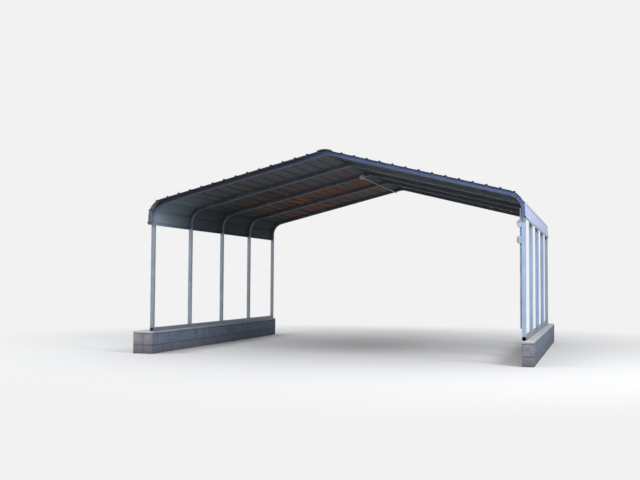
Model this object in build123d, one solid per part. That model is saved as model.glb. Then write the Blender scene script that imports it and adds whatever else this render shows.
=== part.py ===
from build123d import *
import math
import os

# Open carport: five bent bows of square steel tube on legs and base rails, under ribbed roof
# sheets whose ribs run from front to rear, on two low walls of concrete block.
# Millimetres, +Z up. X runs across the bay, Y from the front (-Y) to the rear.
# The origin is the middle of the footprint, at the foot of the walls.

# Base walls, the left one two blocks thick and the right one a single block
wall_height = 406.4
wall_length = 6299.2
left_wall_width = 396.9
right_wall_width = 193.7
left_wall_step = 30.0
wall_edge_chamfer = 6.0

# Square tube frame
tube_size = 63.5
tube_wall = 1.9
tube_corner = 3.0
frame_span = 6705.6
bow_spacing = 1524.0
bow_count = 5
leg_length = 1828.8
bow_drop = 425.0
bend_radius = 300.0
roof_slope = 0.25
eave_bend_flats = 8
ridge_bend_flats = 2

# Inserts that join the legs to the rails and the bows
insert_clearance = 0.4
insert_wall = 2.4
stub_height = 152.4
sleeve_length = 304.8

# Ribbed roof sheets
sheet_length = 6400.8
sheet_thickness = 0.5
sheets_per_side = 4
ribs_per_sheet = 4
rib_pitch = 228.6
rib_height = 19.0
rib_base = 50.8
rib_top = 16.0
minor_rib_height = 2.4
minor_rib_base = 14.0
minor_rib_top = 7.0
minor_rib_places = (1 / 3, 2 / 3)
first_rib = 130.0
edge_lip = 7.0
lap_gap = 0.3
seat_gap = 0.3
cap_overlap = 42.0
cap_lip = 12.0

# Conduit, boxes and straps on the front right leg
conduit_radius = 13.35
conduit_bore = 10.45
conduit_foot = 192.0
hub_radius = 16.5
hub_length = 14.0
hub_standoff = 17.5
box_width = 70.0
box_height = 114.0
box_depth = 51.0
box_corner = 8.0
switch_drop = 16.3
box_spacing = 262.0
cover_margin = 3.0
cover_thickness = 4.0
hood_depth = 21.0
hood_margin = 9.0
hood_corner = 6.0
hood_draft = 8.0
housing_depth = 15.0
housing_margin = 14.0
toggle_length = 38.0
toggle_radius = 4.5
toggle_tilt = 25.0
strap_width = 16.0
strap_thickness = 1.5
strap_foot = 15.0
strap_count = 3
strap_above_foot = 32.0
strap_below_box = 64.0

# Lamp and conduit under the ridge
lamp_offset = 160.0
lamp_box_radius = 51.0
lamp_box_sides = 8
lamp_box_depth = 54.0
lamp_box_drop = 28.0
holder_radius = 57.0
holder_rim = 12.0
holder_neck = 23.0
holder_length = 46.0
bulb_radius = 30.0
bulb_length = 96.0
bulb_sides = 16
bulb_neck = 13.0
bulb_neck_length = 22.0
bulb_shoulder = 50.0
bulb_crown = 16.0

# Worked out from the sizes above
slope_angle = math.atan(roof_slope)
left_line = -(frame_span - tube_size) / 2
right_line = -left_line
rail_top = wall_height + tube_size
leg_top = rail_top + leg_length
eave_height = leg_top + bow_drop
peak_height = eave_height + roof_slope * right_line
frame_length = (bow_count - 1) * bow_spacing
bow_stations = [bow_spacing * i - frame_length / 2 for i in range(bow_count)]
front_bow = bow_stations[0]
middle_bow = bow_stations[bow_count // 2]
rear_bow = bow_stations[-1]
leg_face = right_line - tube_size / 2 - seat_gap
conduit_line = right_line - tube_size / 2 - hub_standoff
conduit_bottom = wall_height + conduit_foot
switch_z = leg_top - switch_drop
outlet_z = switch_z - box_spacing
half_box = box_height / 2 + hub_length

# Outer face of the bows: ridge bend, slope, eave bend and the upright below it
skin_radius = bend_radius + tube_size / 2
skin_x = frame_span / 2
skin_peak = peak_height + tube_size / 2 / math.cos(slope_angle)
skin_corner = skin_peak - roof_slope * skin_x
eave_turn = math.pi / 2 - slope_angle
ridge_centre_z = skin_peak - skin_radius / math.cos(slope_angle)
eave_centre_x = skin_x - skin_radius
eave_centre_z = skin_corner - skin_radius * math.tan(eave_turn / 2)
ridge_arc = skin_radius * slope_angle
bend_lengths = skin_radius * (math.tan(slope_angle / 2) + math.tan(eave_turn / 2))
slope_run = skin_x / math.cos(slope_angle) - bend_lengths
eave_arc = skin_radius * eave_turn
slope_start = ridge_arc
slope_end = slope_start + slope_run
eave_end = slope_end + eave_arc

# Moves the middle of the frame to where it stands over the middle of the footprint
left_reach = -left_line - tube_size / 2 - left_wall_step + left_wall_width
right_reach = right_line - tube_size / 2 + right_wall_width
footprint_shift = (left_reach - right_reach) / 2


# Tubes of the frame

def tube_section():
    """Square ring with its outer corners taken off, in the XY plane."""
    square = Rectangle(tube_size, tube_size)
    outer = chamfer(square.vertices(), tube_corner)
    inner = Rectangle(tube_size - 2 * tube_wall, tube_size - 2 * tube_wall)
    return outer - inner


def upright_tube(x, y, bottom, height):
    return Pos(x, y, bottom) * extrude(tube_section(), amount=height)


def insert_tube(x, y, bottom, height):
    """Smaller tube that slides into the frame tube."""
    outer = tube_size - 2 * tube_wall - 2 * insert_clearance
    ring = Rectangle(outer, outer) - Rectangle(outer - 2 * insert_wall, outer - 2 * insert_wall)
    return Pos(x, y, bottom) * extrude(ring, amount=height)


def base_rail(x):
    length = frame_length + tube_size
    section = Plane(origin=(x, -length / 2, wall_height + tube_size / 2), z_dir=(0, 1, 0)) * tube_section()
    return extrude(section, amount=length)


def bow_turn_places():
    """Distances down the roof line from the ridge to the lower end of a bow, where its tube turns."""
    ridge = [slope_start * i / ridge_bend_flats for i in range(ridge_bend_flats + 1)]
    eave = [slope_end + eave_arc * i / eave_bend_flats for i in range(eave_bend_flats + 1)]
    return ridge + eave + [eave_end + eave_centre_z - leg_top]


def roof_bow(y):
    """One tube pressed into flats at both eave bends and at the ridge, open at its lower ends."""
    right = [roof_point(s, -tube_size / 2, 1, y) for s in bow_turn_places()]
    left = [roof_point(s, -tube_size / 2, -1, y) for s in bow_turn_places()]
    path = Polyline(*reversed(left), *right[1:])
    start = Plane(origin=path @ 0, x_dir=(0, 1, 0), z_dir=path % 0)
    return sweep(start * tube_section(), path=path, transition=Transition.RIGHT)


def leg_inserts(x):
    """Stubs on the base rail and sleeves between the legs and the bows."""
    pieces = []
    for y in bow_stations:
        pieces.append(insert_tube(x, y, rail_top, stub_height))
        pieces.append(insert_tube(x, y, leg_top - sleeve_length / 2, sleeve_length))
    return Compound(children=pieces)


# Block walls

def block_wall(inner_x, outer_x):
    width = abs(outer_x - inner_x)
    wall = Pos((inner_x + outer_x) / 2, 0, wall_height / 2) * Box(width, wall_length, wall_height)
    return chamfer(wall.edges().group_by(Axis.Z)[-1], wall_edge_chamfer)


# Roof sheets, drawn as a line of points (s, h): s runs down the roof from the ridge along the
# outer face of the bows, h stands off it

def roof_point(s, h, side, y=-sheet_length / 2):
    if s <= slope_start:
        turn = s / skin_radius
        x = (skin_radius + h) * math.sin(turn)
        z = ridge_centre_z + (skin_radius + h) * math.cos(turn)
    elif s <= slope_end:
        reach = skin_radius * math.tan(slope_angle / 2) + s - slope_start
        x = reach * math.cos(slope_angle) + h * math.sin(slope_angle)
        z = skin_peak - reach * math.sin(slope_angle) + h * math.cos(slope_angle)
    elif s <= eave_end:
        turn = slope_angle + (s - slope_end) / skin_radius
        x = eave_centre_x + (skin_radius + h) * math.sin(turn)
        z = eave_centre_z + (skin_radius + h) * math.cos(turn)
    else:
        x = skin_x + h
        z = eave_centre_z - (s - eave_end)
    return Vector(side * x, y, z)


def rib_points(centre, height, base, top, lift):
    """Trapezium rib; a lifted rib is wider, so that it nests over the one below it."""
    lean = math.atan2(height, (base - top) / 2)
    grow = (lift - seat_gap) * math.tan(lean / 2)
    return [
        (centre - base / 2 - grow, lift),
        (centre - top / 2 - grow, lift + height),
        (centre + top / 2 + grow, lift + height),
        (centre + base / 2 + grow, lift),
    ]


def sheet_line(start, laps_below):
    """Underside of one sheet, from the rib at its upper edge to the rib at its lower edge."""
    line = [(start - rib_base / 2 - edge_lip, seat_gap)]
    line += rib_points(start, rib_height, rib_base, rib_top, seat_gap)
    for i in range(ribs_per_sheet):
        for share in minor_rib_places:
            centre = start + (i + share) * rib_pitch
            line += rib_points(centre, minor_rib_height, minor_rib_base, minor_rib_top, seat_gap)
        centre = start + (i + 1) * rib_pitch
        lift = seat_gap
        if laps_below and i == ribs_per_sheet - 1:
            lift = seat_gap + sheet_thickness + lap_gap
            joggle = centre - rib_base / 2 - 2 * edge_lip
            line += [(joggle - edge_lip, seat_gap), (joggle, lift)]
        line += rib_points(centre, rib_height, rib_base, rib_top, lift)
    line.append((line[-1][0] + edge_lip, line[-1][1]))
    return line


def thickened(line):
    """The same line moved outward by the sheet's thickness, with mitred corners."""
    normals = []
    for (s0, h0), (s1, h1) in zip(line, line[1:]):
        length = math.hypot(s1 - s0, h1 - h0)
        normals.append(((h0 - h1) / length, (s1 - s0) / length))
    before = [normals[0]] + normals
    after = normals + [normals[-1]]
    moved = []
    for (s, h), (ax, ay), (bx, by) in zip(line, before, after):
        share = sheet_thickness / (1 + ax * bx + ay * by)
        moved.append((s + (ax + bx) * share, h + (ay + by) * share))
    return moved


def split_at_bends(line):
    """Adds the points where the roof changes from straight to bent."""
    points = [line[0]]
    for (s0, h0), (s1, h1) in zip(line, line[1:]):
        for mark in (slope_start, slope_end, eave_end):
            if s0 < mark < s1:
                points.append((mark, h0 + (h1 - h0) * (mark - s0) / (s1 - s0)))
        points.append((s1, h1))
    return points


def roof_edges(line, side):
    """Edges along the roof: arcs round the bends where the sheet lies flat, else straight lines."""
    edges = []
    points = split_at_bends(line)
    for (s0, h0), (s1, h1) in zip(points, points[1:]):
        start = roof_point(s0, h0, side)
        end = roof_point(s1, h1, side)
        middle = (s0 + s1) / 2
        bent = middle < slope_start or slope_end < middle < eave_end
        if bent and abs(h1 - h0) < sheet_thickness / 10:
            edges.append(Edge.make_three_point_arc(start, roof_point(middle, h0, side), end))
        else:
            edges.append(Edge.make_line(start, end))
    return edges


def sheet_from_line(line, side):
    lower = roof_edges(line, side)
    upper = roof_edges(thickened(line), side)
    ends = [
        Edge.make_line(lower[0] @ 0, upper[0] @ 0),
        Edge.make_line(lower[-1] @ 1, upper[-1] @ 1),
    ]
    outline = Wire(lower + upper + ends)
    return extrude(Face(outline), amount=sheet_length, dir=(0, 1, 0))


def roof_sheet(number, side):
    """Sheet counted from the ridge; the last one wraps the eave bend."""
    start = first_rib + (number - 1) * ribs_per_sheet * rib_pitch
    return sheet_from_line(sheet_line(start, number < sheets_per_side), side)


def ridge_cap():
    """Flashing over the first rib of both slopes, with its edges turned down."""
    lift = seat_gap + rib_height + sheet_thickness + lap_gap
    edge = first_rib + cap_overlap
    line = [(0, lift), (edge, lift), (edge + cap_lip / 2, lift - cap_lip)]
    right = sheet_from_line(line, 1)
    left = sheet_from_line(line, -1)
    return right + left


# Conduit, boxes and straps

def conduit_tube(length):
    return extrude(Circle(conduit_radius) - Circle(conduit_bore), amount=length)


def leg_conduit():
    """Runs up the front right leg, through both boxes, and ends where it meets the bow's bend."""
    half_flat = eave_turn / eave_bend_flats / 2
    bend_inside = (skin_radius - tube_size) * math.cos(half_flat) - seat_gap
    outer_side = conduit_line + conduit_radius - eave_centre_x
    top = eave_centre_z + math.sqrt(bend_inside ** 2 - outer_side ** 2)
    stops = [
        (conduit_bottom, outlet_z - half_box),
        (outlet_z + half_box, switch_z - half_box),
        (switch_z + half_box, top),
    ]
    return Compound(children=[
        Pos(conduit_line, front_bow, low) * conduit_tube(high - low) for low, high in stops
    ])


def plane_off_leg(distance, z):
    """Plane that looks into the bay, that far off the leg."""
    origin = (leg_face - distance, front_bow, z)
    return Plane(origin=origin, x_dir=(0, 0, 1), z_dir=(-1, 0, 0))


def box_body(z):
    """Weatherproof box against the inner face of the leg, with a hub at its top and bottom."""
    outline = RectangleRounded(box_height, box_width, box_corner)
    body = plane_off_leg(0, z) * extrude(outline, amount=box_depth)
    hub = Pos(conduit_line, front_bow, z - half_box) * extrude(Circle(hub_radius), amount=2 * half_box)
    return body + hub


def cover_plate():
    outline = RectangleRounded(box_height + 2 * cover_margin, box_width + 2 * cover_margin, box_corner)
    return extrude(outline, amount=cover_thickness)


def raised_cover(margin, depth):
    """Cover plate with a raised part whose corners are taken off and whose sides draw in."""
    square = Rectangle(box_height - 2 * margin, box_width - 2 * margin)
    outline = chamfer(square.vertices(), hood_corner)
    raised = Pos(0, 0, cover_thickness) * extrude(outline, amount=depth, taper=hood_draft)
    return cover_plate() + raised


def outlet_cover():
    """Cover with a deep hood over the socket."""
    return plane_off_leg(box_depth, outlet_z) * raised_cover(hood_margin, hood_depth)


def switch_cover():
    """Cover with a raised housing and a lever that stands out of it."""
    lever_start = Pos(0, 0, cover_thickness) * Rot(0, toggle_tilt, 0)
    lever = lever_start * extrude(Circle(toggle_radius), amount=toggle_length)
    cover = raised_cover(housing_margin, housing_depth) + lever
    return plane_off_leg(box_depth, switch_z) * cover


def strap(standoff):
    """Pipe strap seen along the conduit: its feet stand at y=0 and the conduit's axis at y=standoff."""
    inner = conduit_radius + seat_gap
    outer = inner + strap_thickness
    shell = Pos(0, standoff) * Circle(outer) + Pos(0, standoff / 2) * Rectangle(2 * outer, standoff)
    hollow = Pos(0, standoff) * Circle(inner) + Pos(0, standoff / 2) * Rectangle(2 * inner, standoff)
    feet = Pos(0, strap_thickness / 2) * Rectangle(2 * (outer + strap_foot), strap_thickness)
    return extrude((shell + feet) - hollow, amount=strap_width)


def leg_straps():
    """Straps that hold the conduit to the leg, below the boxes."""
    lowest = conduit_bottom + strap_above_foot
    highest = outlet_z - half_box - strap_below_box
    spacing = (highest - lowest) / (strap_count - 1)
    pieces = []
    for i in range(strap_count):
        foot = (leg_face, front_bow, lowest + spacing * i)
        turned = Plane(origin=foot, x_dir=(0, 1, 0), z_dir=(0, 0, 1))
        pieces.append(turned * strap(hub_standoff - seat_gap))
    return Compound(children=pieces)


# Lamp and conduit under the ridge, left of the middle

def bow_underside(x):
    return peak_height - roof_slope * abs(x) - tube_size / 2 / math.cos(slope_angle)


def ridge_conduit_z():
    drop = conduit_radius + 2 * seat_gap + strap_thickness
    return bow_underside(lamp_offset) - drop / math.cos(slope_angle)


def ridge_conduit():
    """Runs from the lamp box on the middle bow to the rear bow, under the bows."""
    start = middle_bow - tube_size / 2 - seat_gap
    end = rear_bow + tube_size / 2
    line = Plane(origin=(-lamp_offset, start, ridge_conduit_z()), z_dir=(0, 1, 0))
    return line * conduit_tube(end - start)


def ridge_straps():
    """One strap under each bow that the conduit crosses."""
    drop = conduit_radius + seat_gap + strap_thickness
    pieces = []
    for y in bow_stations[bow_count // 2:]:
        foot = Vector(-lamp_offset, y - strap_width / 2, ridge_conduit_z())
        normal = Vector(-math.sin(slope_angle), 0, math.cos(slope_angle))
        along = Vector(math.cos(slope_angle), 0, math.sin(slope_angle))
        turned = Plane(origin=foot + normal * drop, x_dir=along, z_dir=(0, 1, 0))
        pieces.append(turned * strap(drop))
    return Compound(children=pieces)


def lamp_axis(y):
    """Plane that looks out of the front of the lamp box."""
    z = bow_underside(lamp_offset) + tube_size / 2 / math.cos(slope_angle) - lamp_box_drop
    return Plane(origin=(-lamp_offset, y, z), z_dir=(0, -1, 0))


def lamp_box():
    """Box with eight sides, one of them level at its top."""
    back = middle_bow - tube_size / 2 - seat_gap
    outline = RegularPolygon(lamp_box_radius, lamp_box_sides, major_radius=False)
    level = Rot(0, 0, 180 / lamp_box_sides) * outline
    return lamp_axis(back) * extrude(level, amount=lamp_box_depth)


def lamp_holder():
    """Round lampholder: a rim on the box and a neck that the bulb screws into."""
    front = middle_bow - tube_size / 2 - seat_gap - lamp_box_depth
    rim = extrude(Circle(holder_radius), amount=holder_rim)
    neck = extrude(Circle(holder_neck), amount=holder_length)
    return lamp_axis(front) * (rim + neck)


def glass_length(start, end, wide, narrow):
    """Length of the bulb with flats round its axis, wide at its start and narrow at its end."""
    length = abs(end - start)
    outline = RegularPolygon(wide, bulb_sides, major_radius=False)
    draft = math.degrees(math.atan2(wide - narrow, length))
    turned = Rot(180, 0, 0) if end < start else Rot(0, 0, 0)
    return Pos(0, 0, start) * turned * extrude(outline, amount=length, taper=draft)


def lamp_bulb():
    """Glass of the bulb: straight neck, wider to the shoulder, and drawn in at the crown."""
    front = middle_bow - tube_size / 2 - seat_gap - lamp_box_depth - holder_length
    crown_start = bulb_length - bulb_crown
    glass = glass_length(0, bulb_neck_length, bulb_neck, bulb_neck)
    glass += glass_length(bulb_shoulder, bulb_neck_length, bulb_radius, bulb_neck)
    glass += glass_length(bulb_shoulder, crown_start, bulb_radius, bulb_radius)
    glass += glass_length(crown_start, bulb_length, bulb_radius, bulb_radius - bulb_crown)
    return lamp_axis(front) * glass


def all_parts():
    """Every piece by its name."""
    left_inner = left_line + tube_size / 2 + left_wall_step
    right_inner = right_line - tube_size / 2
    parts = {
        "left_block_wall": block_wall(left_inner, left_inner - left_wall_width),
        "right_block_wall": block_wall(right_inner, right_inner + right_wall_width),
        "left_base_rail": base_rail(left_line),
        "right_base_rail": base_rail(right_line),
        "left_leg_inserts": leg_inserts(left_line),
        "right_leg_inserts": leg_inserts(right_line),
    }
    for i, y in enumerate(bow_stations, start=1):
        parts[f"left_leg_{i}"] = upright_tube(left_line, y, rail_top, leg_length)
        parts[f"right_leg_{i}"] = upright_tube(right_line, y, rail_top, leg_length)
        parts[f"roof_bow_{i}"] = roof_bow(y)
    for i in range(1, sheets_per_side):
        parts[f"left_roof_sheet_{i}"] = roof_sheet(i, -1)
        parts[f"right_roof_sheet_{i}"] = roof_sheet(i, 1)
    parts["left_eave_sheet"] = roof_sheet(sheets_per_side, -1)
    parts["right_eave_sheet"] = roof_sheet(sheets_per_side, 1)
    parts["ridge_cap"] = ridge_cap()
    parts["leg_conduit"] = leg_conduit()
    parts["leg_straps"] = leg_straps()
    parts["outlet_box"] = box_body(outlet_z)
    parts["outlet_cover"] = outlet_cover()
    parts["switch_box"] = box_body(switch_z)
    parts["switch_cover"] = switch_cover()
    parts["ridge_conduit"] = ridge_conduit()
    parts["ridge_straps"] = ridge_straps()
    parts["lamp_box"] = lamp_box()
    parts["lamp_holder"] = lamp_holder()
    parts["lamp_bulb"] = lamp_bulb()
    return parts


def main():
    os.makedirs("parts", exist_ok=True)
    for name, shape in all_parts().items():
        export_step(Pos(footprint_shift, 0, 0) * shape, f"parts/{name}.step")


main()
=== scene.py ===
import math

import bmesh
import bpy
from mathutils import Matrix, Vector, noise


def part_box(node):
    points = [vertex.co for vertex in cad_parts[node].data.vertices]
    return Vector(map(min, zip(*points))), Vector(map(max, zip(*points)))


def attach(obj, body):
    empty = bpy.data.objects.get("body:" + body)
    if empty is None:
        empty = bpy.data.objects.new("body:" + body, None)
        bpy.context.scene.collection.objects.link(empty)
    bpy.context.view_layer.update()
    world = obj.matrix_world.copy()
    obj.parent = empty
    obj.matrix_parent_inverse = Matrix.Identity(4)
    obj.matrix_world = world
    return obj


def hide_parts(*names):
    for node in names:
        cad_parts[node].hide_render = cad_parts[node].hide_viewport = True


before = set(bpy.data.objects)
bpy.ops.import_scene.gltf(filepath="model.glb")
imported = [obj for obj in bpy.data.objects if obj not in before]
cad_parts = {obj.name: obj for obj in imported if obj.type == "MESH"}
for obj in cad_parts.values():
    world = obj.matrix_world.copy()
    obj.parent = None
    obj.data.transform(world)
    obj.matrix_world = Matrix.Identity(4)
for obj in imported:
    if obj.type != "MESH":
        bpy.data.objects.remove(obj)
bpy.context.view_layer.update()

# The carport's finishes and small fastenings, in metres, in the frame of the modelled parts.
# X runs across the bay, -Y is the front, +Z is up.

# Roof line of the bows' outer face, as the sheets follow it
roof_slope = 0.25
bend_radius = 0.300
first_rib = 0.130
rib_pitch = 0.2286
ribs_each_side = 17
rib_rise = 0.019
sheet_skin = 0.0008
lap_skin = 0.0016

# Concrete blocks of the two walls
block_length = 0.3969
block_width = 0.1937
block_height = 0.1937
cap_height = 0.0460
mortar_joint = 0.0095
joint_recess = 0.005
chip_depth = 0.010
face_roughness = 0.0016
block_grid = {"Vertices_X": 9, "Vertices_Y": 14, "Vertices_Z": 10}
mortar_grid = 0.03
mortar_unevenness = 0.0018
mortar_lumps = 21.0
mortar_seed = 1
level_margin = 0.001

# Fastenings: width of the hexagon, its height, radius and thickness of the washer
roof_screw = (0.0080, 0.0050, 0.0075, 0.0026)
frame_screw = (0.0080, 0.0050, 0.0065, 0.0012)
rail_anchor = (0.0190, 0.0100, 0.0190, 0.0025)
strap_screw = (0.0055, 0.0025, 0.0042, 0.0006)
cover_screw = (0.0048, 0.0020, 0.0040, 0.0005)

# Where they sit: beside a rib, on a leg's face, beside a leg, on a strap's foot and on a cover
pan_screw_offset = 0.038
frame_screw_offset = 0.014
foot_screw_heights = (0.045, 0.105)
sleeve_screw_offset = 0.055
anchor_offset = 0.16
strap_width = 0.016
strap_thickness = 0.0015
strap_foot_offset = 0.0226
strap_gap = 0.0003
cover_thickness = 0.004
cover_screw_offset = 0.0535

# Bulb and lampholder turned as smooth shapes: distance from the foot, radius
holder_line = [
    (0.000, 0.0570), (0.003, 0.0570), (0.0065, 0.0555), (0.0095, 0.0500), (0.0110, 0.0380),
    (0.0120, 0.0290), (0.0145, 0.0258), (0.0200, 0.0243), (0.0300, 0.0232), (0.0420, 0.0225),
    (0.0455, 0.0215), (0.0460, 0.0195), (0.0440, 0.0172), (0.0300, 0.0165),
]
bulb_line = [
    (0.0000, 0.0125), (0.0080, 0.0125), (0.0180, 0.0135), (0.0280, 0.0175), (0.0380, 0.0232),
    (0.0500, 0.0280), (0.0620, 0.0299), (0.0730, 0.0288), (0.0830, 0.0240), (0.0900, 0.0172),
    (0.0945, 0.0092), (0.0960, 0.0001),
]
lathe_steps = 48

# Floor of the studio: its radius, and where its shadow fades into the backdrop
floor_radius = 70.0
floor_drop = 0.001
shadow_fade = (4.6, 10.0)

# Places taken from the modelled parts
sides = ("left", "right")
legs = {side: [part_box(f"{side}_leg_{i}") for i in range(1, 6)] for side in sides}
bows = [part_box(f"roof_bow_{i}") for i in range(1, 6)]
rails = {side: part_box(f"{side}_base_rail") for side in sides}
walls = {side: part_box(f"{side}_block_wall") for side in sides}
tube = legs["left"][0][1][0] - legs["left"][0][0][0]
bow_ys = [(low[1] + high[1]) / 2 for low, high in bows]
front_face = bows[0][0][1]
centre_x = (bows[0][0][0] + bows[0][1][0]) / 2
half_span = (bows[0][1][0] - bows[0][0][0]) / 2
peak = bows[0][1][2]
rail_top = rails["left"][1][2]
leg_top = legs["left"][0][1][2]
wall_top = walls["left"][1][2]
skirt_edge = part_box("right_eave_sheet")[0][2]


# Roof line

slope_angle = math.atan(roof_slope)
skin_radius = bend_radius + tube / 2
eave_turn = math.pi / 2 - slope_angle
apex = peak + skin_radius * (1 / math.cos(slope_angle) - 1)
ridge_arc = skin_radius * slope_angle
slope_run = half_span / math.cos(slope_angle)
slope_run -= skin_radius * (math.tan(slope_angle / 2) + math.tan(eave_turn / 2))
eave_arc = skin_radius * eave_turn
eave_middle_x = half_span - skin_radius
eave_middle_z = apex - roof_slope * half_span - skin_radius * math.tan(eave_turn / 2)


def on_roof(along, above, side):
    """Point and outward direction, that far down the roof from the ridge and above the bows."""
    if along <= ridge_arc:
        turn = along / skin_radius
        middle = (0, peak - skin_radius)
    elif along <= ridge_arc + slope_run:
        reach = skin_radius * math.tan(slope_angle / 2) + along - ridge_arc
        turn = slope_angle
        middle = (
            reach * math.cos(turn) - skin_radius * math.sin(turn),
            apex - reach * math.sin(turn) - skin_radius * math.cos(turn),
        )
    elif along <= ridge_arc + slope_run + eave_arc:
        turn = slope_angle + (along - ridge_arc - slope_run) / skin_radius
        middle = (eave_middle_x, eave_middle_z)
    else:
        turn = math.pi / 2
        middle = (eave_middle_x, eave_middle_z - (along - ridge_arc - slope_run - eave_arc))
    x = middle[0] + (skin_radius + above) * math.sin(turn)
    z = middle[1] + (skin_radius + above) * math.cos(turn)
    return (centre_x + side * x, z), (side * math.sin(turn), math.cos(turn))


# Colours and nodes

def colour(code):
    """sRGB hex code to linear RGBA."""
    channels = [int(code[i:i + 2], 16) / 255 for i in (0, 2, 4)]
    linear = [c / 12.92 if c <= 0.04045 else ((c + 0.055) / 1.055) ** 2.4 for c in channels]
    return (*linear, 1.0)


def feed(tree, node, **inputs):
    """Each input is a value or the socket that feeds it, by name or as i0, i1 by number."""
    for name, value in inputs.items():
        by_number = name[0] == "i" and name[1:].isdigit()
        socket = node.inputs[int(name[1:])] if by_number else node.inputs[name.replace("_", " ")]
        if isinstance(value, bpy.types.NodeSocket):
            tree.links.new(value, socket)
        else:
            socket.default_value = value


def add(tree, kind, settings=None, **inputs):
    """Adds one node with its properties and inputs set."""
    made = tree.nodes.new(kind)
    for name, value in (settings or {}).items():
        setattr(made, name, value)
    feed(tree, made, **inputs)
    return made


def maths(tree, operation, *values):
    """What one Math node makes of the values."""
    numbered = {f"i{i}": value for i, value in enumerate(values)}
    return add(tree, "ShaderNodeMath", {"operation": operation}, **numbered).outputs[0]


def times(tree, one, other):
    return maths(tree, "MULTIPLY", one, other)


def ranged(tree, value, start, end, low=0.0, high=1.0, smooth=False):
    """Low up to where the value is at its start, high from its end on, and a ramp between them."""
    return add(
        tree, "ShaderNodeMapRange", {"interpolation_type": "SMOOTHSTEP" if smooth else "LINEAR"},
        Value=value, From_Min=start, From_Max=end, To_Min=low, To_Max=high,
    ).outputs[0]


def mixed(tree, share, first, second, blend="MIX"):
    """Two colours, with that share of the second."""
    return add(
        tree, "ShaderNodeMix", {"data_type": "RGBA", "blend_type": blend}, i0=share, i6=first, i7=second,
    ).outputs[2]


def mixed_value(tree, share, first, second):
    return add(tree, "ShaderNodeMix", i0=share, i2=first, i3=second).outputs[0]


def clouds(tree, where, scale, **inputs):
    """Noise from 0 to 1."""
    return add(tree, "ShaderNodeTexNoise", Vector=where, Scale=scale, **inputs).outputs["Fac"]


def ramp(tree, value, *stops):
    """Colour for a value from 0 to 1, from stops of a place and a hex code."""
    made = add(tree, "ShaderNodeValToRGB", Fac=value)
    elements = made.color_ramp.elements
    while len(elements) < len(stops):
        elements.new(0.5)
    for element, (place, code) in zip(elements, stops):
        element.position = place
        element.color = colour(code)
    return made.outputs[0]


def scaled(tree, where, scales):
    return add(tree, "ShaderNodeMapping", Vector=where, Scale=scales).outputs["Vector"]


def split(tree, vector):
    return add(tree, "ShaderNodeSeparateXYZ", Vector=vector).outputs


def bumped(tree, height, strength, distance):
    return add(
        tree, "ShaderNodeBump", Strength=strength, Distance=distance, Height=height,
    ).outputs["Normal"]


def new_material(name, **values):
    """A material with a Principled shader, whose constants the values are, and the coordinates."""
    material = bpy.data.materials.new(name)
    material.use_nodes = True
    tree = material.node_tree
    tree.nodes.clear()
    shader = add(tree, "ShaderNodeBsdfPrincipled", **values)
    add(tree, "ShaderNodeOutputMaterial", Surface=shader.outputs["BSDF"])
    return material, tree, shader, add(tree, "ShaderNodeTexCoord").outputs


# Finishes

def galvanised_tube(
    name, bare, shade_left, shade_right=None, shade_below=None, shade_starts=(0.015, 0.015), soil_tone="7b7266",
    specular=0.5,
):
    """Roll-formed tube from galvanised strip: dull zinc with faint spangle, cloudy where it has
    oxidised, long rain marks, soil and a little rust at the foot, and a darker painted shade of the
    roof from that far above the sheets' lower edge left and right of the ridge. Each tone is a light
    and a dark colour; the painted shade may have another right of the ridge and on faces that look down."""
    material, tree, shader, place = new_material(name, Metallic=0.3, Specular_IOR_Level=specular)
    where = place["Object"]
    x, _, z = split(tree, where)
    up = split(tree, place["Normal"])["Z"]
    cloud = clouds(tree, where, 4.2, Detail=6.0, Roughness=0.66)
    tones = []
    for light, dark in (bare, shade_left, shade_right or shade_left, shade_below or shade_left):
        tones.append(ramp(tree, cloud, (0.30, dark), (0.64, light)))
    # The left and the right painted shade blend across the ridge bend
    past_ridge = ranged(tree, x, centre_x - 0.45, centre_x + 0.35)
    shade_by_side = mixed(tree, past_ridge, tones[1], tones[2])
    # Faces that look down take a painted shade of their own
    shaded_tone = mixed(tree, ranged(tree, up, -0.6, -0.9), shade_by_side, tones[3])
    # The painted shade of the roof starts that far above the sheets' lower edge
    shade_lines = [
        ranged(tree, z, skirt_edge + start * 0.5, skirt_edge + start * 1.5) for start in shade_starts
    ]
    above_edge = mixed_value(tree, past_ridge, *shade_lines)
    tone = mixed(tree, above_edge, tones[0], shaded_tone)
    # Spangle of about 14 mm, coarser than the real 3 to 5 mm so that it shows at all
    spangle = add(tree, "ShaderNodeTexVoronoi", Vector=where, Scale=70.0).outputs["Color"]
    crystal = ranged(tree, spangle, 0.0, 1.0, 0.92, 1.06)
    rain = clouds(tree, scaled(tree, where, (46.0, 46.0, 1.4)), 1.0, Detail=3.0)
    streak = ranged(tree, rain, 0.35, 0.7, 0.88, 1.04)
    zinc = mixed(tree, 1.0, tone, times(tree, crystal, streak), "MULTIPLY")
    # Splashed soil and spots of rust, thinning out above the rail
    low = ranged(tree, z, wall_top, rail_top + 0.30, 1.0, 0.0)
    grit = clouds(tree, where, 26.0, Detail=6.0, Roughness=0.7)
    soil = ranged(tree, times(tree, low, grit), 0.22, 0.62, 0.0, 0.55)
    soiled = mixed(tree, soil, zinc, colour(soil_tone))
    rust_spots = clouds(tree, where, 60.0, Detail=4.0, Roughness=0.6)
    rust = ranged(tree, times(tree, rust_spots, low), 0.50, 0.58, 0.0, 0.75)
    rust_and_warm_reflection = mixed(tree, rust, soiled, colour("7a4b2c"))
    gloss = ranged(tree, cloud, 0.3, 0.7, 0.36, 0.54)
    feed(tree, shader, Base_Color=rust_and_warm_reflection, Roughness=gloss, Normal=bumped(tree, grit, 0.12, 0.001))
    return material


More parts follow.
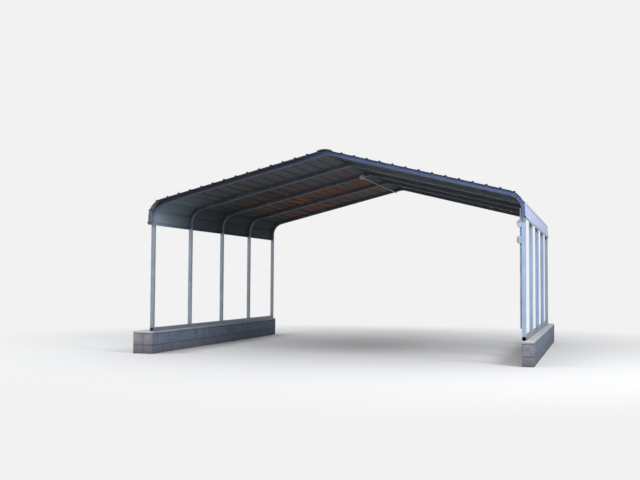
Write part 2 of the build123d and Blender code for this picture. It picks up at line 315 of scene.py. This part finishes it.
def coil_coated_sheet():
    """Roll-formed steel with baked polyester paint: pale and satin outside with dust washed down
    the slope. The side that faces down has a thin wash coat with hardly any shine, painted dark for the
    shade under the roof, paler inside the eaves near the front, a painted light, and with streaks and
    patches of painted warm reflection."""
    material, tree, shader, place = new_material("polyester_coated_ribbed_sheet", Specular_IOR_Level=0.18)
    where = place["Object"]
    x, y, _ = split(tree, where)
    face_x, _, face_z = split(tree, place["Normal"])
    off_ridge = maths(tree, "SUBTRACT", x, centre_x)
    reach = maths(tree, "ABSOLUTE", off_ridge)
    # Outside is what faces the way that the middle of the eave bend does, away from the ridge
    bend_x, bend_z = 0.788, 0.616
    out_x = times(tree, maths(tree, "SIGN", off_ridge), face_x)
    outward = maths(tree, "MULTIPLY_ADD", face_z, bend_z, times(tree, out_x, bend_x))
    outside = maths(tree, "GREATER_THAN", outward, 0.0)
    # Rain carries dust down the slope, so the marks are long across the ribs
    wash = clouds(tree, scaled(tree, where, (0.9, 13.0, 2.0)), 1.0, Detail=6.0, Roughness=0.65)
    paint = ramp(tree, wash, (0.32, "adb9d7"), (0.52, "b4c2e5"), (0.72, "bac9eb"))
    patches = clouds(tree, where, 2.3, Detail=7.0, Roughness=0.6)
    chalky = mixed(tree, 1.0, paint, ranged(tree, patches, 0.3, 0.7, 0.95, 1.02), "MULTIPLY")
    grime_spots = clouds(tree, where, 38.0, Detail=5.0, Roughness=0.7)
    grime = ranged(tree, grime_spots, 0.62, 0.78, 0.0, 0.35)
    top_coat = mixed(tree, grime, chalky, colour("7d776c"))
    # The wash coat below is thin and uneven, with long marks from the rolls; its dark tone is partly the
    # coat's own and partly painted shade
    rolls = clouds(tree, scaled(tree, where, (14.0, 0.35, 14.0)), 1.0, Detail=4.0)
    under = ramp(tree, rolls, (0.3, "4e5156"), (0.55, "65686c"), (0.75, "76797d"))
    # Brown patches of painted warm reflection
    warm_reflection = ranged(tree, clouds(tree, where, 0.9, Detail=3.0), 0.45, 0.7, 0.0, 0.5)
    wash_coat_and_shade = mixed(tree, warm_reflection, under, colour("5a4a44"))
    # Towards the rear it is darker, a painted shade, but less so on the right
    rear_shade = ranged(tree, y, -3.3, 0.4, 1.0, 0.16, smooth=True)
    rear_shade_by_side = times(tree, rear_shade, ranged(tree, off_ridge, 0.3, 1.3, 1.0, 1.8))
    shaded_rear = mixed(tree, 1.0, wash_coat_and_shade, rear_shade_by_side, "MULTIPLY")
    # Close to the ridge warm air has kept the sheets drier and paler
    dry = ranged(tree, reach, 1.9, 0.6, 0.0, 0.75)
    ridge_tone = mixed(tree, dry, shaded_rear, colour("767b83"))
    # Streaks of painted warm reflection lie along the ribs behind the front bay, left of the ridge
    reflection_streaks = clouds(tree, scaled(tree, where, (7.5, 0.45, 7.5)), 1.0, Detail=5.0)
    reflection_share = ranged(tree, reflection_streaks, 0.42, 0.58, 0.0, 0.95)
    up_slope = ranged(tree, off_ridge, -3.0, -2.2)
    left_side = ranged(tree, off_ridge, -0.15, -0.4)
    rear = ranged(tree, y, -1.4, 0.2)
    region = times(tree, times(tree, up_slope, left_side), rear)
    # Painted warm reflection in streaks
    rust_and_warm_reflection = mixed(tree, times(tree, region, reflection_share), ridge_tone, colour("805542"))
    # Painted light inside the eaves, from where the bend starts to the skirt, and hardly any before
    # the front bow, which keeps the overhang in painted shade
    in_eave = ranged(tree, reach, 2.55, 3.30, smooth=True)
    in_front = ranged(tree, y, bow_ys[0], bow_ys[0] + 1.9, 1.0, 0.04)
    in_skirt = ranged(tree, reach, 3.15, 3.34, 0.0, 0.17)
    behind_bow = ranged(tree, y, front_face - 0.02, front_face + 0.01, 0.18, 1.0)
    painted_light_share = maths(tree, "MAXIMUM", times(tree, in_eave, in_front), in_skirt)
    lower_side = mixed(tree, times(tree, painted_light_share, behind_bow), rust_and_warm_reflection, colour("98aabb"))
    gloss = mixed_value(tree, outside, 0.8, ranged(tree, wash, 0.3, 0.7, 0.5, 0.34))
    feed(
        tree, shader, Base_Color=mixed(tree, outside, lower_side, top_coat), Roughness=gloss,
        Normal=bumped(tree, patches, 0.1, 0.002),
    )
    return material


def pressed_concrete(name, light, dark, foot_tone, blotch, right_facing_shade_share):
    """Dry-pressed concrete: open grain with dark pores, sandy variation and blotches from the moulds;
    painted shade where it faces right, painted sunlight warming the outer side of the left wall high
    up, a painted highlight along the top edge, most of all at the front, and darker towards the foot."""
    material, tree, shader, place = new_material(name, Roughness=0.92, Specular_IOR_Level=0.25)
    where = place["Object"]
    x, y, z = split(tree, where)
    face_x = split(tree, place["Normal"])["X"]
    wall_x, wall_y, _ = walls["left"][0]
    batch = clouds(tree, where, 3.2, Detail=6.0, Roughness=0.6)
    body = ramp(tree, batch, (0.3, dark), (0.68, light))
    moulds = clouds(tree, where, 6.5, Detail=6.0, Roughness=0.7)
    blotched = mixed(tree, ranged(tree, moulds, 0.48, 0.70, 0.0, 0.6), body, colour(blotch))
    pores = clouds(tree, where, 95.0, Detail=6.0, Roughness=0.75)
    speckle = ranged(tree, pores, 0.28, 0.62, 0.66, 1.08)
    grained = mixed(tree, 1.0, blotched, speckle, "MULTIPLY")
    # Faces that look right are darker, a painted shade
    right_facing_shade = ranged(tree, face_x, 0.3, 0.8, 0.0, right_facing_shade_share)
    shaded_right_facing = mixed(tree, right_facing_shade, grained, colour("d0e2ef"), "MULTIPLY")
    # Height, made uneven so that neither the darker foot nor the painted sunlight ends on a level line
    uneven = maths(tree, "MULTIPLY_ADD", batch, -0.34, z)
    # Darker towards the foot
    low_share = ranged(tree, uneven, -0.16, 0.08, 0.7, 0.0)
    darker_foot = mixed(tree, low_share, shaded_right_facing, colour(foot_tone))
    # Painted sunlight, warm, high on the outer side of the left wall
    outer_side = ranged(tree, x, wall_x + 0.15, wall_x + 0.03, 0.0, 0.7)
    painted_sunlight_share = times(tree, outer_side, ranged(tree, uneven, -0.02, 0.14))
    sunlit = mixed(tree, painted_sunlight_share, darker_foot, colour("a99c90"))
    # Painted highlight along the top edge, strongest at the front
    edge = ranged(tree, z, wall_top - 0.026, wall_top - 0.008)
    at_front = ranged(tree, y, wall_y + 0.05, wall_y + 0.01, 0.5, 1.0)
    edge_highlight = mixed(tree, times(tree, edge, at_front), sunlit, colour("d8d4cb"))
    # Grain of about 5 mm, a little coarser than the real grit so that it shows
    grain = add(tree, "ShaderNodeTexVoronoi", Vector=where, Scale=190.0).outputs["Distance"]
    rough = maths(tree, "MULTIPLY_ADD", grain, -0.5, pores)
    feed(tree, shader, Base_Color=edge_highlight, Normal=bumped(tree, rough, 0.7, 0.003))
    return material


def plain_finish(name, light, dark, scale, roughness, bump_height, **values):
    """Moulded, cast or plated small parts: one colour with slight clouding and handling marks."""
    material, tree, shader, place = new_material(name, **values)
    cloud = clouds(tree, place["Object"], scale, Detail=5.0, Roughness=0.6)
    tone = ramp(tree, cloud, (0.34, dark), (0.64, light))
    gloss = ranged(tree, cloud, 0.3, 0.7, roughness + 0.08, roughness - 0.06)
    feed(tree, shader, Base_Color=tone, Roughness=gloss, Normal=bumped(tree, cloud, 0.3, bump_height))
    return material


# The left legs are a neutral grey, a painted shade; the right ones, towards the open side, are paler and
# bluer, a painted skylight
left_leg_zinc_painted_shade = galvanised_tube("galvanised_left_leg_painted_shade", ("9aa5b0", "848f9b"), ("5a6888", "3e4966"))
right_leg_zinc_painted_skylight = galvanised_tube("galvanised_right_leg_painted_skylight", ("a4bad9", "92a8c7"), ("5a6888", "3e4966"))
# The rails are duller, with a blue-green cast, and darker blue-green in patches towards the foot
rail_zinc = galvanised_tube(
    "galvanised_base_rail", ("8798a8", "627684"), ("687c8b", "687c8b"), soil_tone="3b4e5a",
)
# The front bow is in painted shade, dark navy left of the ridge, and bluer and paler right of it, a
# painted skylight; its lowest part stays bare
front_bow_zinc = galvanised_tube(
    "galvanised_front_bow", ("939db4", "7d87a0"), ("32374e", "232739"), ("6980b0", "4c6194"),
    ("47527a", "384262"), shade_starts=(0.25, 0.015),
)
# The bows behind it have little shine and a darker painted shade; more light reaches the second one, so
# its painted shade is paler
second_bow_zinc = galvanised_tube(
    "galvanised_second_bow", ("a2aec0", "8793a7"), ("6b7581", "525b66"), ("7d8d97", "6a7983"),
    ("58636f", "454e57"), specular=0.15,
)
inner_bow_zinc = galvanised_tube(
    "galvanised_inner_bow", ("a2aec0", "8793a7"), ("6b7581", "525b66"), ("69727b", "535b63"),
    ("464e57", "363c44"), specular=0.15,
)
sheet_paint = coil_coated_sheet()
# Purplish grey blocks, caps paler and bluer as a painted skylight on the tops, and mortar darker than both
block_concrete = pressed_concrete("pressed_concrete_block", "a2a2ad", "83838e", "5e5e64", "666a78", 1.0)
skylit_cap_concrete = pressed_concrete("pressed_concrete_cap", "a6b0c4", "8b95a9", "838a9a", "858c9f", 0.3)
mortar = pressed_concrete("troweled_cement_mortar", "7c7c84", "64646c", "4c4c52", "606068", 1.0)
# Extruded rigid PVC: even light grey, matt, faded by sun
conduit_plastic = plain_finish("extruded_grey_conduit", "9fb0ba", "8798a3", 9.0, 0.5, 0.0003)
# Die-cast zinc under baked enamel: pale grey, faint orange-peel; the lower box has greyed more
box_enamel = plain_finish("enamelled_die_cast_box", "c9c9e2", "b3b4cf", 40.0, 0.42, 0.0004)
greyed_enamel = plain_finish("greyed_die_cast_box", "a6bacb", "8ea3b6", 40.0, 0.48, 0.0004)
# Pressed strip, zinc plated: brighter than the tube, scuffed
strap_zinc = plain_finish(
    "zinc_plated_pressed_strap", "b9c0cb", "8d949f", 60.0, 0.36, 0.0002, Metallic=0.8,
)
# Cold-headed steel, zinc plated: small bright heads with dull recesses
screw_zinc = plain_finish(
    "zinc_plated_screw_head", "c3c8cf", "8a8f97", 220.0, 0.34, 0.0001, Metallic=0.9,
)
# Vulcanised rubber face under the screw heads: near black, matt
washer_rubber = plain_finish("bonded_rubber_washer", "2e2f31", "1d1e20", 260.0, 0.75, 0.0001)
# Glazed porcelain: cream white and glossy, with dust dulling it in patches
porcelain = plain_finish("glazed_porcelain_lampholder", "e4e0d3", "cfc9b9", 30.0, 0.2, 0.0002)
# Blown glass, frosted inside: pale and slightly warm
bulb_glass = plain_finish(
    "frosted_bulb_glass", "efece2", "dedacd", 14.0, 0.22, 0.0001, Transmission_Weight=0.25,
)


# Finishes on the modelled parts; the first start that fits a part's name gives its finish

finish_by_start = {
    "left_leg": left_leg_zinc_painted_shade,
    "right_leg": right_leg_zinc_painted_skylight,
    "left_base_rail": rail_zinc,
    "right_base_rail": rail_zinc,
    "roof_bow_1": front_bow_zinc,
    "roof_bow_2": second_bow_zinc,
    "roof_bow": inner_bow_zinc,
    "left_roof_sheet": sheet_paint,
    "right_roof_sheet": sheet_paint,
    "left_eave_sheet": sheet_paint,
    "right_eave_sheet": sheet_paint,
    "ridge_cap": sheet_paint,
    "leg_conduit": conduit_plastic,
    "ridge_conduit": conduit_plastic,
    "leg_straps": strap_zinc,
    "ridge_straps": strap_zinc,
    "outlet": greyed_enamel,
    "switch": box_enamel,
    "lamp_box": box_enamel,
    "lamp_holder": porcelain,
    "lamp_bulb": bulb_glass,
    "left_block_wall": mortar,
    "right_block_wall": mortar,
}
for name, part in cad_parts.items():
    finish = next(value for start, value in finish_by_start.items() if name.startswith(start))
    part.data.materials.clear()
    part.data.materials.append(finish)


# Making pieces

def shown(name, data):
    made = bpy.data.objects.new(name, data)
    bpy.context.scene.collection.objects.link(made)
    return made


def hand_over(piece, slot, *replaced):
    """Fixes a finished piece to the carport and hides the modelled parts that it replaces; the slot is not
    used.
    """
    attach(piece, "root")
    if replaced:
        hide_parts(*replaced)


def carried_points(name, places, carried):
    """A mesh of loose points, each with one vector that the nodes read under the carried name."""
    mesh = bpy.data.meshes.new(name)
    mesh.from_pydata([point for point, _ in places], [], [])
    vectors = mesh.attributes.new(carried, "FLOAT_VECTOR", "POINT")
    for item, (_, vector) in zip(vectors.data, places):
        item.vector = vector
    return shown(name, mesh)


def baked(source, name):
    """Plain mesh object from an object with modifiers, in place of it."""
    bpy.context.view_layer.update()
    graph = bpy.context.evaluated_depsgraph_get()
    mesh = bpy.data.meshes.new_from_object(source.evaluated_get(graph))
    bpy.data.objects.remove(source)
    mesh.name = name
    return shown(name, mesh)


def add_nodes(piece, tree, values):
    """Gives the piece a node modifier, with the tree's inputs by their names."""
    modifier = piece.modifiers.new(tree.name, "NODES")
    modifier.node_group = tree
    for item in tree.interface.items_tree:
        if item.in_out == "INPUT" and item.name in values:
            modifier[item.identifier] = values[item.name]


def new_tree(name, lengths):
    """Empty node tree with points in, a shape out and the named lengths between them."""
    tree = bpy.data.node_groups.new(name, "GeometryNodeTree")
    tree.interface.new_socket("Points", in_out="INPUT", socket_type="NodeSocketGeometry")
    for title in lengths:
        tree.interface.new_socket(title, in_out="INPUT", socket_type="NodeSocketFloat")
    tree.interface.new_socket("Shape", in_out="OUTPUT", socket_type="NodeSocketGeometry")
    return tree, add(tree, "NodeGroupInput").outputs


def stored(tree, kind, domain, geometry, name, value):
    """The geometry with a value kept on it under that name."""
    settings = {"data_type": kind, "domain": domain}
    return add(
        tree, "GeometryNodeStoreNamedAttribute", settings, Geometry=geometry, Name=name, Value=value,
    ).outputs[0]


def named(tree, kind, name):
    """What a mesh carries under that name."""
    return add(
        tree, "GeometryNodeInputNamedAttribute", {"data_type": kind}, Name=name,
    ).outputs["Attribute"]


def copies(tree, points, instance, **inputs):
    """One real copy of the instance at every point."""
    placed = add(tree, "GeometryNodeInstanceOnPoints", Points=points, Instance=instance, **inputs)
    return add(tree, "GeometryNodeRealizeInstances", Geometry=placed.outputs[0]).outputs[0]


def finished(tree, geometry, material, **inputs):
    return add(
        tree, "GeometryNodeSetMaterial", Geometry=geometry, Material=material, **inputs,
    ).outputs[0]


# Fastenings

head_lengths = ("Head Across", "Head Height", "Washer Radius", "Washer Height")
washer_corners = 14


def raised_cylinder(tree, corners, radius, depth, foot):
    """Upright cylinder whose foot is at that height."""
    shape = add(tree, "GeometryNodeMeshCylinder", Vertices=corners, Radius=radius, Depth=depth)
    lift = add(tree, "ShaderNodeCombineXYZ", Z=maths(tree, "MULTIPLY_ADD", depth, 0.5, foot))
    return add(
        tree, "GeometryNodeTransform", Geometry=shape.outputs["Mesh"], Translation=lift.outputs[0],
    ).outputs[0]


def hex_head_tree(name, head_material, washer_material):
    """A hexagon head on a round washer at every point, turned to face outward."""
    tree, given = new_tree(name, head_lengths)
    corner = maths(tree, "DIVIDE", given["Head Across"], math.sqrt(3.0))
    head = raised_cylinder(tree, 6, corner, given["Head Height"], given["Washer Height"])
    washer = raised_cylinder(tree, washer_corners, given["Washer Radius"], given["Washer Height"], 0.0)
    marked = stored(tree, "BOOLEAN", "FACE", washer, "is_washer", True)
    both = add(tree, "GeometryNodeJoinGeometry")
    tree.links.new(head, both.inputs[0])
    tree.links.new(marked, both.inputs[0])
    turn = add(
        tree, "FunctionNodeAlignRotationToVector", {"axis": "Z"},
        Vector=named(tree, "FLOAT_VECTOR", "facing"),
    )
    real = copies(tree, given["Points"], both.outputs[0], Rotation=turn.outputs[0])
    heads = finished(tree, real, head_material)
    done = finished(tree, heads, washer_material, Selection=named(tree, "BOOLEAN", "is_washer"))
    add(tree, "NodeGroupOutput", Shape=done)
    return tree


def fastenings(name, places, tree, sizes):
    points = carried_points(name + "_points", places, "facing")
    add_nodes(points, tree, dict(zip(head_lengths, sizes)))
    hand_over(baked(points, name), "galvanised_steel")


def roof_screw_places():
    """In the pan beside each rib, over every bow."""
    places = []
    for side in (-1, 1):
        for i in range(ribs_each_side - 1):
            along = first_rib + i * rib_pitch + pan_screw_offset
            (x, z), (out_x, out_z) = on_roof(along, sheet_skin, side)
            places += [((x, y, z), (out_x, 0, out_z)) for y in bow_ys]
    return places


def ridge_screw_places():
    """Through the cap into the top of the rib below it, at the bows and half way between."""
    halves = [(a + b) / 2 for a, b in zip(bow_ys, bow_ys[1:])]
    places = []
    for side in (-1, 1):
        (x, z), (out_x, out_z) = on_roof(first_rib, rib_rise + lap_skin, side)
        places += [((x, y, z), (out_x, 0, out_z)) for y in bow_ys + halves]
    return places


def frame_screw_places():
    """Self-drilling screws at both ends of every leg, on its front and rear faces."""
    heights = [rail_top + height for height in foot_screw_heights]
    heights += [leg_top - sleeve_screw_offset, leg_top + sleeve_screw_offset]
    places = []
    for side in sides:
        for low, high in legs[side]:
            middle_x = (low[0] + high[0]) / 2
            for z in heights:
                places.append(((middle_x + frame_screw_offset, low[1], z), (0, -1, 0)))
                places.append(((middle_x - frame_screw_offset, high[1], z), (0, 1, 0)))
    return places


def anchor_places():
    """Bolts through the rails into the walls, behind each leg, and before the rearmost."""
    places = []
    for side in sides:
        x = (rails[side][0][0] + rails[side][1][0]) / 2
        for y in bow_ys:
            step = anchor_offset if y < bow_ys[-1] else -anchor_offset
            places.append(((x, y + step, rail_top), (0, 0, 1)))
    return places


def leg_strap_screw_places():
    """Through both feet of each strap into the leg."""
    low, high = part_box("leg_straps")
    middle_y = (low[1] + high[1]) / 2
    lowest, highest = low[2] + strap_width / 2, high[2] - strap_width / 2
    face = high[0] - strap_thickness
    places = []
    for z in (lowest, (lowest + highest) / 2, highest):
        places += [((face, middle_y + side * strap_foot_offset, z), (-1, 0, 0)) for side in (-1, 1)]
    return places


def ridge_strap_screw_places():
    """Through both feet of each strap, up into the bows that the conduit crosses."""
    low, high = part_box("ridge_straps")
    offset = centre_x - (low[0] + high[0]) / 2
    drop = tube + strap_gap + strap_thickness
    middle = (offset - drop * math.sin(slope_angle)) / math.cos(slope_angle)
    middle += ridge_arc - skin_radius * math.tan(slope_angle / 2)
    places = []
    for step in (-strap_foot_offset, strap_foot_offset):
        (x, z), (out_x, out_z) = on_roof(middle + step, -drop, -1)
        places += [((x, y, z), (-out_x, 0, -out_z)) for y in bow_ys[2:]]
    return places


def cover_screw_places():
    """At the top and bottom of both covers."""
    places = []
    for node in ("outlet_cover", "switch_cover"):
        low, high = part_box(node)
        face = high[0] - cover_thickness
        middle_y, middle_z = (low[1] + high[1]) / 2, (low[2] + high[2]) / 2
        for step in (-cover_screw_offset, cover_screw_offset):
            places.append(((face, middle_y, middle_z + step), (-1, 0, 0)))
    return places


head_tree = hex_head_tree("hex_head_on_rubber", screw_zinc, washer_rubber)
metal_tree = hex_head_tree("hex_head_on_washer", screw_zinc, screw_zinc)
fastenings("roof_screws", roof_screw_places(), head_tree, roof_screw)
fastenings("ridge_screws", ridge_screw_places(), head_tree, roof_screw)
fastenings("frame_screws", frame_screw_places(), metal_tree, frame_screw)
fastenings("rail_anchors", anchor_places(), metal_tree, rail_anchor)
fastenings("leg_strap_screws", leg_strap_screw_places(), metal_tree, strap_screw)
fastenings("ridge_strap_screws", ridge_strap_screw_places(), metal_tree, strap_screw)
fastenings("cover_screws", cover_screw_places(), metal_tree, cover_screw)


# Lampholder and bulb

def turned(name, line, foot, material, slot, node):
    """Lathe shape along -Y from its foot, smooth round and along."""
    mesh = bpy.data.meshes.new(name)
    body = bmesh.new()
    rings = []
    for along, radius in line:
        ring = []
        for step in range(lathe_steps):
            turn = 2 * math.pi * step / lathe_steps
            point = (foot[0] + radius * math.cos(turn), foot[1] - along, foot[2] + radius * math.sin(turn))
            ring.append(body.verts.new(point))
        rings.append(ring)
    for lower, upper in zip(rings, rings[1:]):
        for i in range(lathe_steps):
            j = (i + 1) % lathe_steps
            body.faces.new((lower[i], lower[j], upper[j], upper[i])).smooth = True
    body.faces.new(rings[0])
    body.faces.new(rings[-1])
    bmesh.ops.recalc_face_normals(body, faces=body.faces)
    body.to_mesh(mesh)
    body.free()
    mesh.materials.append(material)
    hand_over(shown(name, mesh), slot, node)


for name, line, node, material, slot in (
    ("porcelain_lampholder", holder_line, "lamp_holder", porcelain, "white_ceramic"),
    ("frosted_bulb", bulb_line, "lamp_bulb", bulb_glass, "frosted_glass"),
):
    low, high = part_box(node)
    foot = Vector(((low[0] + high[0]) / 2, high[1], (low[2] + high[2]) / 2))
    turned(name, line, foot, material, slot, node)


# Block walls

def course_heights(low, high):
    """Foot and height of every course from the cap down; the lowest stands partly in the ground."""
    courses = [(high[2] - cap_height, cap_height)]
    top = high[2] - cap_height - mortar_joint
    while top > low[2] + mortar_joint:
        height = min(block_height, top - low[2])
        courses.append((top - height, height))
        top -= height + mortar_joint
    return courses


def row_of_blocks(low, high, foot, height, x, width, lengths):
    """Centre and size of the blocks of one row: the first length starts it, the second goes on, and
    the last block reaches the wall's end."""
    places = []
    y = low[1]
    length, full = lengths
    while y < high[1] - mortar_joint:
        room = high[1] - y
        if room < length + 2 * mortar_joint:
            length = room
        places.append(((x, y + length / 2, foot + height / 2), (width, length, height)))
        y += length + mortar_joint
        length = full
    return places


def block_places(low, high):
    """Caps that lie across the wall, and below them stretchers in as many rows as it is wide, with
    half blocks so that the joints don't meet."""
    rows = round((high[0] - low[0] + mortar_joint) / (block_width + mortar_joint))
    half_block = (block_length - mortar_joint) / 2
    cap_length = block_width if rows > 1 else block_length
    (cap_foot, cap), *courses = course_heights(low, high)
    middle_x = (low[0] + high[0]) / 2
    caps = row_of_blocks(low, high, cap_foot, cap, middle_x, high[0] - low[0], (cap_length, cap_length))
    blocks = []
    for course, (foot, height) in enumerate(courses):
        for row in range(rows):
            x = low[0] + block_width / 2 + row * (block_width + mortar_joint)
            first = block_length if (course + row) % 2 == 0 else half_block
            blocks += row_of_blocks(low, high, foot, height, x, block_width, (first, block_length))
    return caps, blocks


def block_tree(name, material):
    """One block at every point, of the size that the point carries, with worn, chipped edges and
    open-grained faces."""
    tree, given = new_tree(name, ("Chip Depth", "Face Roughness"))
    cube = add(tree, "GeometryNodeMeshCube", Size=(1.0, 1.0, 1.0), **block_grid)
    own_place = add(tree, "GeometryNodeInputPosition").outputs[0]
    marked = stored(tree, "FLOAT_VECTOR", "POINT", cube.outputs["Mesh"], "in_block", own_place)
    real = copies(tree, given["Points"], marked, Scale=named(tree, "FLOAT_VECTOR", "block_size"))
    # A point is on an edge where two of its three distances from the middle are full
    in_block = named(tree, "FLOAT_VECTOR", "in_block")
    distances = add(tree, "ShaderNodeVectorMath", {"operation": "ABSOLUTE"}, i0=in_block)
    x, y, z = split(tree, distances.outputs[0])
    pairs = [maths(tree, "MINIMUM", one, other) for one, other in ((x, y), (y, z), (z, x))]
    second = maths(tree, "MAXIMUM", maths(tree, "MAXIMUM", pairs[0], pairs[1]), pairs[2])
    on_edge = ranged(tree, second, 0.44, 0.5)
    wear = add(tree, "ShaderNodeTexNoise", Scale=17.0, Detail=4.0, Roughness=0.65).outputs["Fac"]
    amount = times(tree, on_edge, ranged(tree, wear, 0.42, 0.75, 0.16, 1.0))
    depth = times(tree, amount, given["Chip Depth"])
    grain = add(tree, "ShaderNodeTexNoise", Scale=55.0, Detail=3.0, Roughness=0.7).outputs["Fac"]
    lowered = maths(tree, "MULTIPLY_ADD", grain, given["Face Roughness"], depth)
    outward = add(tree, "GeometryNodeInputNormal")
    offset = add(
        tree, "ShaderNodeVectorMath", {"operation": "SCALE"}, i0=outward.outputs[0],
        Scale=times(tree, lowered, -1.0),
    )
    worn = add(tree, "GeometryNodeSetPosition", Geometry=real, Offset=offset.outputs[0])
    add(tree, "NodeGroupOutput", Shape=finished(tree, worn.outputs[0], material))
    return tree


def mortar_core(name, low, high):
    """Mortar that fills the joints, a little behind the faces of the blocks, with an uneven skin."""
    mesh = bpy.data.meshes.new(name)
    body = bmesh.new()
    bmesh.ops.create_cube(body, size=1.0)
    inner_low = Vector(low) + Vector((joint_recess, joint_recess, 0))
    inner_high = Vector(high) - Vector((joint_recess, joint_recess, joint_recess))
    size = inner_high - inner_low
    for vertex in body.verts:
        vertex.co = inner_low + Vector([(vertex.co[i] + 0.5) * size[i] for i in range(3)])
    for axis in (1, 0, 2):
        for step in range(1, int(size[axis] / mortar_grid)):
            level = Vector((0, 0, 0))
            level[axis] = inner_low[axis] + step * mortar_grid
            normal = Vector((0, 0, 0))
            normal[axis] = 1
            everything = body.verts[:] + body.edges[:] + body.faces[:]
            bmesh.ops.bisect_plane(body, geom=everything, plane_co=level, plane_no=normal)
    # Without a seed the noise would start from the clock; the foot of the wall stays level
    noise.seed_set(mortar_seed)
    for vertex in body.verts:
        push = noise.noise_vector(vertex.co * mortar_lumps) * mortar_unevenness
        if vertex.co.z <= low[2] + level_margin:
            push.z = 0
        vertex.co += push
    body.to_mesh(mesh)
    body.free()
    mesh.materials.append(mortar)
    return shown(name, mesh)


def laid_wall(side, cap_tree, lower_tree):
    """One wall's caps, blocks and mortar, in place of its modelled solid."""
    low, high = walls[side]
    caps, blocks = block_places(low, high)
    for name, places, tree in (("caps", caps, cap_tree), ("blocks", blocks, lower_tree)):
        source = carried_points(f"{side}_{name}_points", places, "block_size")
        add_nodes(source, tree, {"Chip Depth": chip_depth, "Face Roughness": face_roughness})
        hand_over(baked(source, f"{side}_wall_{name}"), "concrete_block")
    core = mortar_core(side + "_wall_mortar", low, high)
    hand_over(core, "concrete_block", side + "_block_wall")


laid_caps = block_tree("laid_caps", skylit_cap_concrete)
laid_blocks = block_tree("laid_blocks", block_concrete)
for side in sides:
    laid_wall(side, laid_caps, laid_blocks)


# Floor, light and camera

def seen_directly(tree):
    """1 for what the picture shows, straight or in a reflection or through glass."""
    ray = add(tree, "ShaderNodeLightPath").outputs
    seen = maths(tree, "MAXIMUM", ray["Is Camera Ray"], ray["Is Glossy Ray"])
    return maths(tree, "MAXIMUM", seen, ray["Is Transmission Ray"])


def mixed_light(tree, share, first, second):
    """Two shaders, with that share of the second."""
    return add(tree, "ShaderNodeMixShader", i0=share, i1=first, i2=second).outputs[0]


def floor():
    """Paper floor that takes the carport's shadow and fades into the backdrop."""
    bpy.ops.mesh.primitive_circle_add(
        vertices=96, radius=floor_radius, fill_type="NGON", location=(0, 0, -floor_drop),
    )
    made = bpy.context.object
    made.name = "studio_floor"
    material, tree, shader, place = new_material(
        "studio_floor_paper", Base_Color=colour("dedede"), Roughness=0.9, Specular_IOR_Level=0.1,
    )
    away = add(tree, "ShaderNodeVectorMath", {"operation": "LENGTH"}, i0=place["Object"])
    fade = ranged(tree, away.outputs["Value"], *shadow_fade, smooth=True)
    far = add(tree, "ShaderNodeEmission", Color=colour("f2f2f2"), Strength=1.0)
    paper = mixed_light(tree, fade, shader.outputs[0], far.outputs[0])
    # Only the picture sees white paper; what it throws back up is that of plain ground
    ground = add(tree, "ShaderNodeBsdfDiffuse", Color=colour("8c8c8c"))
    surface = mixed_light(tree, seen_directly(tree), ground.outputs[0], paper)
    end = next(node for node in tree.nodes if node.type == "OUTPUT_MATERIAL")
    feed(tree, end, Surface=surface)
    made.data.materials.append(material)


def studio_world():
    """Soft light that comes mostly from above, behind a plain pale backdrop."""
    world = bpy.data.worlds.new("studio_world")
    bpy.context.scene.world = world
    world.use_nodes = True
    tree = world.node_tree
    tree.nodes.clear()
    up = split(tree, add(tree, "ShaderNodeTexCoord").outputs["Generated"])["Z"]
    sky = ranged(tree, up, 0.0, 0.7, 0.35, 1.0)
    ambient = add(tree, "ShaderNodeBackground", Color=colour("eef0f3"), Strength=sky)
    backdrop = add(tree, "ShaderNodeBackground", Color=colour("f2f2f2"), Strength=1.0)
    surface = mixed_light(tree, seen_directly(tree), ambient.outputs[0], backdrop.outputs[0])
    add(tree, "ShaderNodeOutputWorld", Surface=surface)


def soft_light(name, place, size, power):
    """Round softbox that points at the middle of the bay."""
    light = bpy.data.lights.new(name, "AREA")
    light.shape = "DISK"
    light.size = size
    light.energy = power
    made = shown(name, light)
    made.location = place
    made.rotation_euler = (Vector((0.0, 0.0, 1.5)) - Vector(place)).to_track_quat("-Z", "Y").to_euler()


def photo_camera():
    """Stands where the photograph was taken: in front, right of the right legs, a little low."""
    yaw, pitch, roll = (math.radians(angle) for angle in (17.82, 2.685, 0.353))
    focal_pixels, image_width, sensor = 871.2, 640, 36.0
    from_front_legs = Vector((4.479, -14.281, 0.935))
    ahead = Vector((-math.sin(yaw) * math.cos(pitch), math.cos(yaw) * math.cos(pitch), math.sin(pitch)))
    level = Vector((math.cos(yaw), math.sin(yaw), 0))
    up = level.cross(ahead)
    right = level * math.cos(roll) + up * math.sin(roll)
    top = up * math.cos(roll) - level * math.sin(roll)
    camera = bpy.data.cameras.new("photo_camera")
    camera.sensor_width = sensor
    camera.lens = focal_pixels / image_width * sensor
    camera.clip_end = 300.0
    made = shown("photo_camera", camera)
    place = from_front_legs + Vector((centre_x, bow_ys[0], wall_top))
    made.matrix_world = Matrix.Translation(place) @ Matrix((right, top, -ahead)).transposed().to_4x4()
    bpy.context.scene.camera = made


floor()
studio_world()
soft_light("softbox_right", (13.0, -9.0, 9.0), 6.0, 1500.0)
soft_light("softbox_left", (-12.0, -9.0, 9.0), 6.0, 700.0)
soft_light("softbox_behind_camera", (5.0, -22.0, 6.0), 5.0, 600.0)
photo_camera()
bpy.context.scene.view_settings.view_transform = "Standard"
